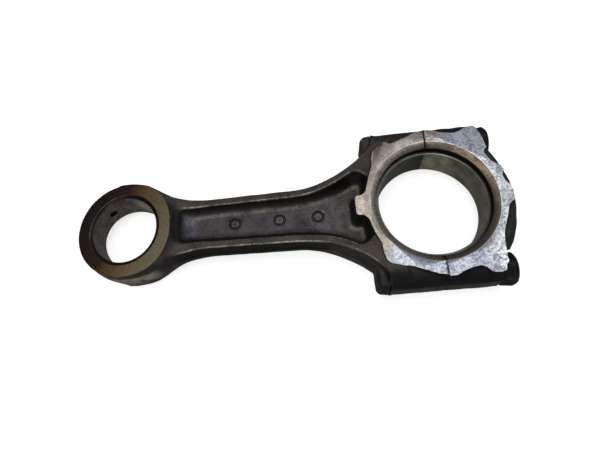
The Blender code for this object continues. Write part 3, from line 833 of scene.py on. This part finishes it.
# Painted shade: near-black skin for the pip rings, as if their grooves lay in shadow
PIP_SHADE = forged_skin("pip_ring_shade", (0.010, 0.009, 0.009), lambda tree, spot, axes: colour(0.022, 0.02, 0.022),
                  (0.1, 0.1, 0.1), 0.0, lambda tree, axes: 0.0)
SIDE = milled_face_with_painted_reflection("machined_side_face", (0.42, 0.375, 0.315), (0.95, 0.97, 1.0), (0.13, 0.13, 0.18), 0.72)
FLANK = milled_face_with_painted_reflection("boss_flank", (0.035, 0.033, 0.031), (0.05, 0.05, 0.05), (0.012, 0.012, 0.012), 0.5)
BORE = bored_ring_with_painted_light("housing_chamfer", (0.20, 0.172, 0.155), (0.225, 0.185, 0.13), 0.0, 37.0)
# Painted shade: the housing wall above the shells is coloured near black, as if in shadow
BORE_WALL_SHADE = bored_ring_with_painted_light("housing_wall_shade", (0.035, 0.03, 0.028), (0.07, 0.055, 0.04), 0.0, HOUSING_R)
EYE_LIP = bored_ring_with_painted_light("eye_lip", (0.10, 0.085, 0.075), (0.16, 0.13, 0.10), pin_x, 23.0)
TAPPED = bored_ring_with_painted_light("tapped_hole", (0.10, 0.09, 0.08), (0.2, 0.18, 0.15), 0.0, HOUSING_R)
EYE_FACE = eye_face_heat_tint_and_reflection("small_end_wedge_face")
FRACTURE = broken_steel("fracture_face")


def zone_faces(obj, zones):
    """Gives each face the slot of the last zone that holds it; a zone reads centres and normals."""
    mesh = obj.data
    count = len(mesh.polygons)
    centres = np.empty(count * 3)
    normals = np.empty(count * 3)
    mesh.polygons.foreach_get("center", centres)
    mesh.polygons.foreach_get("normal", normals)
    centre = centres.reshape(-1, 3).T
    normal = normals.reshape(-1, 3).T
    index = np.zeros(count, np.int32)
    mesh.materials.clear()
    for number, (material, test) in enumerate(zones):
        mesh.materials.append(material)
        if test is not None:
            index[test(*centre, *normal)] = number
    mesh.polygons.foreach_set("material_index", index)
    mesh.update()


# A face lies on a cut plane when it is this close to it and turned this squarely to it
ON_PLANE, SQUARE = 0.05, 0.97
CRACK_DEPTH, TAP_REACH_R = 1.2, 6.95
PIP_DARK_R, PIP_DARK_DEPTH = 4.6, 0.32


def is_side_face(x, y, z, nx, ny, nz):
    return (np.abs(z) > face_z - ON_PLANE) & (np.abs(nz) > SQUARE) & (x > FACE_START)


def is_housing(x, y, z, nx, ny, nz):
    radius = np.hypot(x, y)
    inward = -(x * nx + y * ny) / np.maximum(radius, 1e-6)
    return (radius < HOUSING_R + HOUSING_CHAMFER + 0.2) & (inward > 0.3)


def is_bore_wall(x, y, z, nx, ny, nz):
    return (np.hypot(x, y) < HOUSING_R + 0.1) & (np.abs(nz) < 0.3)


def is_eye_lip(x, y, z, nx, ny, nz):
    return (np.hypot(x - pin_x, y) < EYE_BORE_R + 1.5) & (np.abs(nz) > 0.5) & (np.abs(nz) < 0.85)


def is_pip(x, y, z, nx, ny, nz):
    ring = np.min([np.hypot(x - at, y) for at in PIP_X], axis=0)
    return (ring > PIP_CORE_R - 0.1) & (ring < PIP_DARK_R) & (np.abs(z) < WEB - PIP_DARK_DEPTH)


def is_fracture(x, y, z, nx, ny, nz):
    beside_bolt = np.hypot(np.abs(y) - BOLT_Y, z) > TAP_ROOT_R - 0.15
    return (np.abs(x) < CRACK_DEPTH) & (np.abs(nx) > 0.45) & beside_bolt


def is_eye_face(x, y, z, nx, ny, nz):
    on_wedge = np.abs(np.abs(z) - wedge_height(x)) < ON_PLANE
    return on_wedge & (np.abs(nz) > SQUARE) & (x < pin_x + TAPER_END)


def is_eye_bore(x, y, z, nx, ny, nz):
    return (np.hypot(x - pin_x, y) < EYE_BORE_R + ON_PLANE) & (np.abs(nz) < 0.5)


def is_flank(x, y, z, nx, ny, nz):
    return (np.abs(y) > FLANK_CUT - ON_PLANE) & (np.abs(ny) > 0.98) & (x > FLANK_START - 0.1)


def is_tap(x, y, z, nx, ny, nz):
    return (np.hypot(np.abs(y) - BOLT_Y, z) < TAP_REACH_R) & (x > TAP_END - 0.5)


def is_bare_hole(*face):
    return is_eye_bore(*face) | is_tap(*face)


def put_in_place(obj, body, node, sharp=32.0):
    """Carries a millimetre mesh to the frame, shades it, and ties it to its CAD body."""
    obj.data.transform(place)
    obj.data.shade_smooth()
    obj.data.set_sharp_from_angle(angle=math.radians(sharp))
    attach(obj, body)
    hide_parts(node)


zone_faces(rod, [(ROD_SKIN, None), (FLANK, is_flank), (SIDE, is_side_face), (BORE, is_housing),
                 (BORE_WALL_SHADE, is_bore_wall), (EYE_FACE, is_eye_face), (EYE_LIP, is_eye_lip),
                 (PIP_SHADE, is_pip), (FRACTURE, is_fracture), (TAPPED, is_bare_hole)])
put_in_place(rod, "rod", "rod_body")


# ----------------------------------------------------------------------
# Bearing cap. The other half of the same steel forging, cracked off across the bore so that it
# goes back in one place only, under two bolts. Its trimmed edge leaves the milled side faces
# uneven, and a smooth stiffening band runs round its back.
# ----------------------------------------------------------------------
CREST_X, CREST_R, CREST_TOP, CREST_ROUND = 50.5, 60.5, 13.0, 7.0
CREST_SIDE, CREST_START = 33.0, 24.0
CAP_CROWN_R, CAP_CROWN_DRAFT = 40.6, 0.1
CAP_START, EAR_START, EAR_END, EAR_TOP = -3.0, -4.0, 34.8, 15.4
BAND_FILLET, EAR_FILLET, CAP_PAD_FILLET = 5.0, 5.0, 1.0
SEAT_X, SEAT_R, CAP_HOLE_R, CAP_FLANK_END = 33.0, 12.0, 6.5, 30.5
TOOL_END = 60.0
CAP_SKIN_START, CAP_SKIN_END, CAP_WAVINESS = -3.8, 53.0, 0.42

# Edge of the milled side face on the cap, from the parting line round the back; the skin of the
# forging was uneven, so the +Y and -Y sides differ
CAP_FACE_LEFT = [(-4.0, 47.2), (4.5, 46.3), (10.4, 44.3), (16.4, 42.9), (19.5, 42.9), (22.8, 44.2),
                 (26.3, 46.2), (29.5, 46.8), (32.2, 46.4), (33.8, 42.8), (35.1, 39.7), (36.0, 35.4),
                 (37.0, 31.0), (34.6, 28.5), (35.3, 25.6), (37.0, 22.0), (39.5, 20.0), (42.2, 18.0),
                 (43.9, 15.0), (42.6, 12.6), (42.4, 10.6), (43.4, 7.6), (45.2, 5.0), (46.4, 2.0),
                 (46.6, -1.0)]
CAP_FACE_RIGHT = [(-4.0, 47.2), (4.7, 47.5), (7.1, 46.3), (10.8, 44.6), (15.0, 43.5), (19.0, 43.0),
                  (22.1, 44.1), (23.9, 46.3), (25.9, 47.4), (29.2, 47.7), (32.2, 46.8),
                  (32.9, 43.6), (34.9, 42.0), (34.4, 39.0), (34.7, 35.5), (34.8, 29.5),
                  (35.9, 24.7), (37.4, 20.5), (39.8, 14.5), (42.3, 8.4), (44.0, 6.0), (45.8, 4.9),
                  (46.5, 1.1), (46.6, -1.0)]
CAP_FACE_INSIDE = [(30.0, -4.0), (-4.0, 20.0)]


def cap_field(x, y, z, side):
    """Outside of the cap forging above mid thickness, on its +Y or -Y side."""
    crest = np.hypot(x - (CREST_X - CREST_R), y) - CREST_R
    crest = round_edge(crest, z - CREST_TOP, CREST_ROUND)
    crest = np.maximum(crest, np.maximum(y - CREST_SIDE, CREST_START - x))
    crown = np.hypot(x, y) - CAP_CROWN_R - CAP_CROWN_DRAFT * (face_z - z)
    crown = np.maximum(crown, z - face_z - STOCK)
    ear = boss_field(x, y, z, EAR_TOP, EAR_START, EAR_END)
    edge = (CAP_FACE_LEFT if side > 0 else CAP_FACE_RIGHT) + CAP_FACE_INSIDE
    cap = fillet(crown, crest, BAND_FILLET)
    cap = fillet(cap, ear, EAR_FILLET)
    cap = fillet(cap, face_pad(x, y, z, edge), CAP_PAD_FILLET)
    return np.maximum(cap, CAP_START - x)


def drill(name, radius, start, end, y, segments=64):
    """Straight tool laid along X at that y."""
    tool = turned(name, [(radius, start), (radius, end)], segments=segments)
    tool.data.transform(Matrix.Translation((0.0, y, 0.0)) @ Matrix.Rotation(math.pi / 2, 4, "Y"))
    return tool


cap = skin("cap_forging", cap_field, CAP_SKIN_START, CAP_SKIN_END, CAP_WAVINESS)
cap_holes = [drill("hole_tool", CAP_HOLE_R, -OVERCUT, TOOL_END, side * BOLT_Y) for side in (1, -1)]
cap_seats = [drill("seat_tool", SEAT_R, SEAT_X, TOOL_END, side * BOLT_Y, 96) for side in (1, -1)]
machine(cap, side_face_tools(-OVERCUT) + flank_tools(-OVERCUT, CAP_FLANK_END) + [housing_tool()]
        + cap_holes + cap_seats + [crack_tool(-1)])


def is_seat(x, y, z, nx, ny, nz):
    return (np.abs(x - SEAT_X) < ON_PLANE) & (nx > SQUARE)


def is_cap_hole(x, y, z, nx, ny, nz):
    return is_tap(x, y, z, nx, ny, nz) & (x < SEAT_X - 0.1)


def cap_soot(tree, axes):
    """Black on both ears, where the bolts pass."""
    return slope(tree, maths(tree, "ABSOLUTE", axes["Y"]), 30.0, 38.0)


def cap_light(tree, spot, axes):
    return colour(0.052, 0.056, 0.056)


CAP_SKIN = forged_skin("cap_forge_skin", (0.012, 0.013, 0.014), cap_light, (0.12, 0.12, 0.12), 0.5,
                       cap_soot)
SEAT = milled_face_with_painted_reflection("bolt_seat", (0.3, 0.3, 0.3), (0.5, 0.5, 0.5), (0.1, 0.1, 0.1), 0.5)
zone_faces(cap, [(CAP_SKIN, None), (FLANK, is_flank), (SIDE, is_side_face), (BORE, is_housing),
                 (BORE_WALL_SHADE, is_bore_wall), (FRACTURE, is_fracture), (SEAT, is_seat),
                 (TAPPED, is_cap_hole)])
put_in_place(cap, "cap", "bearing_cap")


# ----------------------------------------------------------------------
# Bearing shells. Two thin steel-backed half shells with a soft olive-grey running layer on the
# inside, chamfered at both ends and held by their crush in the housing.
# ----------------------------------------------------------------------
SHELL_BACK_R, SHELL_RUN_R = 34.9, 33.0
SHELL_HALF_LENGTH = 11.2
SHELL_CHAMFER, SHELL_BACK_CHAMFER = 0.45, 0.27
SHELL_END_GAP = 0.12
SHELL_STEPS = 96


def half_shell(name, side):
    """Half ring with chamfered ends; side is -1 in the rod half and +1 in the cap half."""
    half = SHELL_HALF_LENGTH
    end = [(SHELL_RUN_R, half - SHELL_CHAMFER), (SHELL_RUN_R + SHELL_CHAMFER, half),
           (SHELL_BACK_R - SHELL_BACK_CHAMFER, half), (SHELL_BACK_R, half - SHELL_BACK_CHAMFER)]
    section = [(radius, -z) for radius, z in end] + end[::-1]
    bm = bmesh.new()
    loops = []
    gap = math.asin(SHELL_END_GAP / SHELL_RUN_R)
    for i in range(SHELL_STEPS + 1):
        angle = gap + (math.pi - 2 * gap) * i / SHELL_STEPS - math.pi / 2
        loops.append([bm.verts.new((side * radius * math.cos(angle), radius * math.sin(angle), z))
                      for radius, z in section])
    return tube(name, bm, loops)


def running_layer(name, dark, light):
    """Smeared soft metal, darker towards the crown of the cap."""
    material, tree, shader, spot = new_material(name, 0.38, 0.75, light)
    axes = axis_of(tree, spot)
    smeared = ramp(tree, noise_of(tree, spot, 0.08, 4.0, 0.6), [(0.36, dark), (0.66, light)])
    crown = product(tree, slope(tree, axes["X"], 6.0, 26.0), 0.6)
    clean = blend(tree, crown, smeared, colour(*shaded(dark, 0.3)))
    finish_with(tree, shader, bare_steel,
                {"Place": spot, "Across": axes["Z"], "Clean": clean,
                 "Stain": colour(0.05, 0.05, 0.04), "Stain Amount": 0.22}, 0.08, 0.04)
    return material


def is_shell_edge(x, y, z, nx, ny, nz):
    return np.abs(z) > SHELL_HALF_LENGTH - SHELL_CHAMFER - 0.02


def is_shell_lip(x, y, z, nx, ny, nz):
    inner = np.hypot(x, y) < SHELL_RUN_R + 0.6
    return is_shell_edge(x, y, z, nx, ny, nz) & (np.abs(nz) < 0.9) & inner


SHELL_EDGE = running_layer("shell_end", (0.05, 0.048, 0.045), (0.11, 0.105, 0.10))
# Painted highlight: the inner chamfer at each shell end is coloured near white
SHELL_LIP_HIGHLIGHT = running_layer("shell_lip_highlight", (0.6, 0.58, 0.55), (0.9, 0.9, 0.9))
# Painted light and shade: both shells have the same running layer, but the cap's is coloured many times
# lighter than the rod's
for name, side, body, node, slot, dark, light in (
        ("rod_half_shell", -1, "rod", "upper_bearing_shell", "rod_shell_overlay",
         (0.07, 0.069, 0.055), (0.135, 0.133, 0.106)),
        ("cap_half_shell", 1, "cap", "lower_bearing_shell", "cap_shell_overlay",
         (0.42, 0.40, 0.27), (0.95, 0.90, 0.64))):
    shell = half_shell(name, side)
    zone_faces(shell, [(running_layer(name + "_layer", dark, light), None),
                       (SHELL_EDGE, is_shell_edge), (SHELL_LIP_HIGHLIGHT, is_shell_lip)])
    put_in_place(shell, body, node)


# ----------------------------------------------------------------------
# Small-end bush. A wrapped bronze bush pressed into the eye and machined with it, so that its
# ends follow the wedge; the bore edges are chamfered and an oil hole comes through the crown.
# ----------------------------------------------------------------------
BUSH_R, PIN_R = 22.7, 21.0
BUSH_CHAMFER, BUSH_CORNER = 1.0, 0.25
BUSH_SEGMENTS = 192
OIL_HOLE_R, OIL_HOLE_ANGLE, OIL_HOLE_REACH = 2.6, math.radians(128.0), 30.0


def bush_mesh():
    """Ring whose rows of edges follow the wedge faces."""
    end = [(BUSH_R, -BUSH_CORNER), (BUSH_R - BUSH_CORNER, 0.0), (PIN_R + BUSH_CHAMFER, 0.0),
           (PIN_R, -BUSH_CHAMFER)]
    profile = [(radius, 1, inset) for radius, inset in end]
    profile += [(radius, -1, inset) for radius, inset in end[::-1]]
    bm = bmesh.new()
    loops = []
    for i in range(BUSH_SEGMENTS):
        angle = 2 * math.pi * i / BUSH_SEGMENTS
        ring = []
        for radius, side, inset in profile:
            x = pin_x + radius * math.cos(angle)
            z = side * (wedge_height(x) + inset)
            ring.append(bm.verts.new((x, radius * math.sin(angle), z)))
        loops.append(ring)
    for lower, upper in zip(loops, loops[1:] + loops[:1]):
        bridge(bm, lower, upper)
    return finished("pin_bush", bm)


def is_bush_end(x, y, z, nx, ny, nz):
    return (np.abs(nz) > 0.3) & (np.hypot(x - pin_x, y) > PIN_R)


bush = bush_mesh()
oil_hole = drill("oil_tool", OIL_HOLE_R, 0.0, 2 * OIL_HOLE_REACH, 0.0, 40)
oil_hole.data.transform(Matrix.Translation((pin_x, 0.0, 0.0)) @ Matrix.Rotation(OIL_HOLE_ANGLE, 4, "Z"))
machine(bush, [oil_hole])
BUSH_RUN = bored_ring_with_painted_light("bush_bronze", (0.165, 0.142, 0.13), (0.95, 0.85, 0.72), pin_x, PIN_R)
# Painted shade: the bush ends are coloured near black, as if in shadow
BUSH_END_SHADE = bored_ring_with_painted_light("bush_end_shade", (0.022, 0.019, 0.017), (0.05, 0.04, 0.03), pin_x, 22.0)
zone_faces(bush, [(BUSH_RUN, None), (BUSH_END_SHADE, is_bush_end)])
put_in_place(bush, "rod", "small_end_bush")


# ----------------------------------------------------------------------
# Cap bolts. M12 x 1.75 hex-head steel bolts with rolled threads, blackened, that pass through
# the cap and screw straight into the rod half; the head bears on a spot-faced seat.
# ----------------------------------------------------------------------
BOLT_TIP_X, THREAD_END_X = -26.0, 2.0
BOLT_SHANK_R, THREAD_ROOT_R = 5.95, 5.1
THREAD_ROW, THREAD_LEAD, THREAD_RUNOUT, SHANK_START = 0.25, 2.0, 1.2, 0.6
HEAD_FOOT_X, HEAD_TOP_X, FLATS = SEAT_X + 0.05, 42.9, 9.0
UNDERHEAD_R, UNDERHEAD_DROP = 0.9, 1.2
CHAMFER_DROPS = (2.4, 1.9, 1.5, 1.1, 0.8, 0.5, 0.25, 0.0)
CHAMFER_OUT, CHAMFER_IN, CHAMFER_DEPTH, CHAMFER_CURVE = 1.6, 1.9, 2.3, 1.7
FOOT_INSET, LIP_INSET, LIP_UP = 0.35, 0.1, 0.5
HEX_UP, HEX_FOOT = 0.9, 0.35
TOP_INSET, DIMPLE_INSET, DIMPLE_DEPTH = 1.6, 2.4, 0.5
HEX_STEPS = 60


def hexagon(angle):
    sector = math.pi / 3
    return FLATS / math.cos((angle + sector / 2) % sector - sector / 2)


def bolt_radius(x, angle):
    """Radius of the bolt about its own axis below the head, at a place along the rod."""
    if x > THREAD_END_X:
        return BOLT_SHANK_R
    lead = min((x - BOLT_TIP_X) / THREAD_LEAD, (THREAD_END_X - x) / THREAD_RUNOUT, 1.0)
    crest = THREAD_ROOT_R + (BOLT_SHANK_R - THREAD_ROOT_R) * lead
    return thread_radius(x, angle, THREAD_ROOT_R, crest)


def chamfer_limit(drop):
    """Radius that the turned chamfer leaves on the head, that far below its top."""
    turned_in = max(0.0, 1.0 - drop / CHAMFER_DEPTH) ** CHAMFER_CURVE
    return FLATS + CHAMFER_OUT - CHAMFER_IN * turned_in


def bolt_rows():
    """Rows (x, round radius or None, hexagon limit or None) from the tip to the head's dimple."""
    count = int((THREAD_END_X - BOLT_TIP_X) / THREAD_ROW) + 1
    rows = [(BOLT_TIP_X + THREAD_ROW * i, None, None) for i in range(count)]
    rows += [(THREAD_END_X + SHANK_START, None, None), (SEAT_X - UNDERHEAD_DROP, None, None)]
    rows += [(HEAD_FOOT_X, BOLT_SHANK_R + UNDERHEAD_R, None), (HEAD_FOOT_X, FLATS - FOOT_INSET, None),
             (SEAT_X + LIP_UP, FLATS - LIP_INSET, None), (SEAT_X + HEX_UP, None, FLATS + HEX_FOOT)]
    rows += [(HEAD_TOP_X - drop, None, chamfer_limit(drop)) for drop in CHAMFER_DROPS]
    return rows + [(HEAD_TOP_X, FLATS - TOP_INSET, None),
                   (HEAD_TOP_X - DIMPLE_DEPTH, FLATS - DIMPLE_INSET, None)]


def bolt_mesh(name, y, turn):
    """Bolt along X at that y, with its head turned by that angle."""
    bm = bmesh.new()
    loops = []
    for x, round_radius, limit in bolt_rows():
        ring = []
        for i in range(HEX_STEPS):
            angle = 2 * math.pi * i / HEX_STEPS
            if limit:
                radius = min(hexagon(angle + turn), limit)
            else:
                radius = round_radius or bolt_radius(x, angle)
            ring.append(bm.verts.new((x, y + radius * math.cos(angle), radius * math.sin(angle))))
        loops.append(ring)
    return tube(name, bm, loops)


def blackened(name, dark, light):
    """Black oxide on rolled steel, thin at the corners."""
    material, tree, shader, spot = new_material(name, 0.5, 0.2, light)
    shader.inputs["Specular IOR Level"].default_value = 0.18
    finish_with(tree, shader, forge_scale,
                {"Place": spot, "Dark": colour(*dark), "Light": colour(*light),
                 "Rubbed And Highlit": colour(0.10, 0.10, 0.10), "Rub Amount": 0.4}, 0.2, 0.12)
    return material


for side, name, turn in ((1, "left", 0.0), (-1, "right", math.radians(7.0))):
    bolt = bolt_mesh("m12_bolt_" + name, side * BOLT_Y, turn)
    black = blackened(name + "_bolt_black", (0.006, 0.006, 0.006), (0.018, 0.018, 0.019))
    bolt.data.materials.append(black)
    put_in_place(bolt, name + "_bolt", "cap_bolt_" + name, 28.0)


# ----------------------------------------------------------------------
# Studio. A plain pale table, a broad soft light overhead with a key to the cap side, weaker
# fills from the front and left, and a camera close above the rod, a little to its front.
# ----------------------------------------------------------------------
TABLE_HALF, TABLE_DROP = 4.0, 0.0002
table_mesh = bpy.data.meshes.new("table")
corners = [(x * TABLE_HALF, y * TABLE_HALF, 0.0) for x, y in ((-1, -1), (1, -1), (1, 1), (-1, 1))]
table_mesh.from_pydata(corners, [], [(0, 1, 2, 3)])
table = put_in_scene("table", table_mesh)
table.location.z = -TABLE_DROP
pale = bpy.data.materials.new("pale_table")
pale.use_nodes = True
for socket, value in (("Base Color", colour(0.86, 0.86, 0.87)), ("Roughness", 0.9),
                      ("Specular IOR Level", 0.1), ("Emission Color", colour(1.0, 1.0, 1.0)),
                      ("Emission Strength", 0.72)):
    pale.node_tree.nodes["Principled BSDF"].inputs[socket].default_value = value
table_mesh.materials.append(pale)
table.visible_diffuse = False
table.visible_glossy = False

world = bpy.data.worlds.new("studio")
bpy.context.scene.world = world
world.use_nodes = True
world.node_tree.nodes["Background"].inputs["Color"].default_value = colour(0.95, 0.97, 1.0)
world.node_tree.nodes["Background"].inputs["Strength"].default_value = 0.14


def softbox(name, spot, size, power, aim, tint):
    light = bpy.data.lights.new(name, "AREA")
    light.shape = "RECTANGLE"
    light.size, light.size_y = size
    light.energy = power
    light.color = tint
    lamp = put_in_scene(name, light)
    lamp.location = spot
    lamp.rotation_euler = (Vector(aim) - Vector(spot)).to_track_quat("-Z", "Y").to_euler()


softbox("key_softbox", (0.48, 0.20, 0.92), (0.6, 0.76), 1.25, (0.05, 0.0, 0.0), (0.93, 0.96, 1.0))
softbox("top_softbox", (-0.06, 0.06, 1.0), (0.9, 0.68), 3.1, (-0.02, 0.0, 0.0), (1.0, 0.96, 0.90))
softbox("front_fill", (-0.2, -0.8, 0.6), (0.9, 0.5), 0.95, (0.0, 0.0, 0.0), (1.0, 0.98, 0.96))
softbox("left_fill", (-0.42, -0.38, 0.95), (0.5, 0.4), 0.9, (0.0, 0.0, 0.0), (1.0, 0.94, 0.86))

LENS, SENSOR, NEAREST = 28.23, 36.0, 0.01
CAMERA_FROM_BIG_END = Vector((-71.9, -105.1, 281.8))
AIM_FROM_BIG_END = Vector((-82.7, -3.1, 0.0))
CAMERA_ROLL = math.radians(-10.83)
camera_data = bpy.data.cameras.new("camera")
camera_data.lens = LENS
camera_data.sensor_width = SENSOR
camera_data.clip_start = NEAREST
camera = put_in_scene("camera", camera_data)
spot = place @ CAMERA_FROM_BIG_END
aim = place @ AIM_FROM_BIG_END
look = (aim - spot).to_track_quat("-Z", "Y").to_matrix().to_4x4()
camera.matrix_world = Matrix.Translation(spot) @ look @ Matrix.Rotation(CAMERA_ROLL, 4, "Z")
bpy.context.scene.camera = camera
bpy.context.scene.view_settings.view_transform = "Standard"
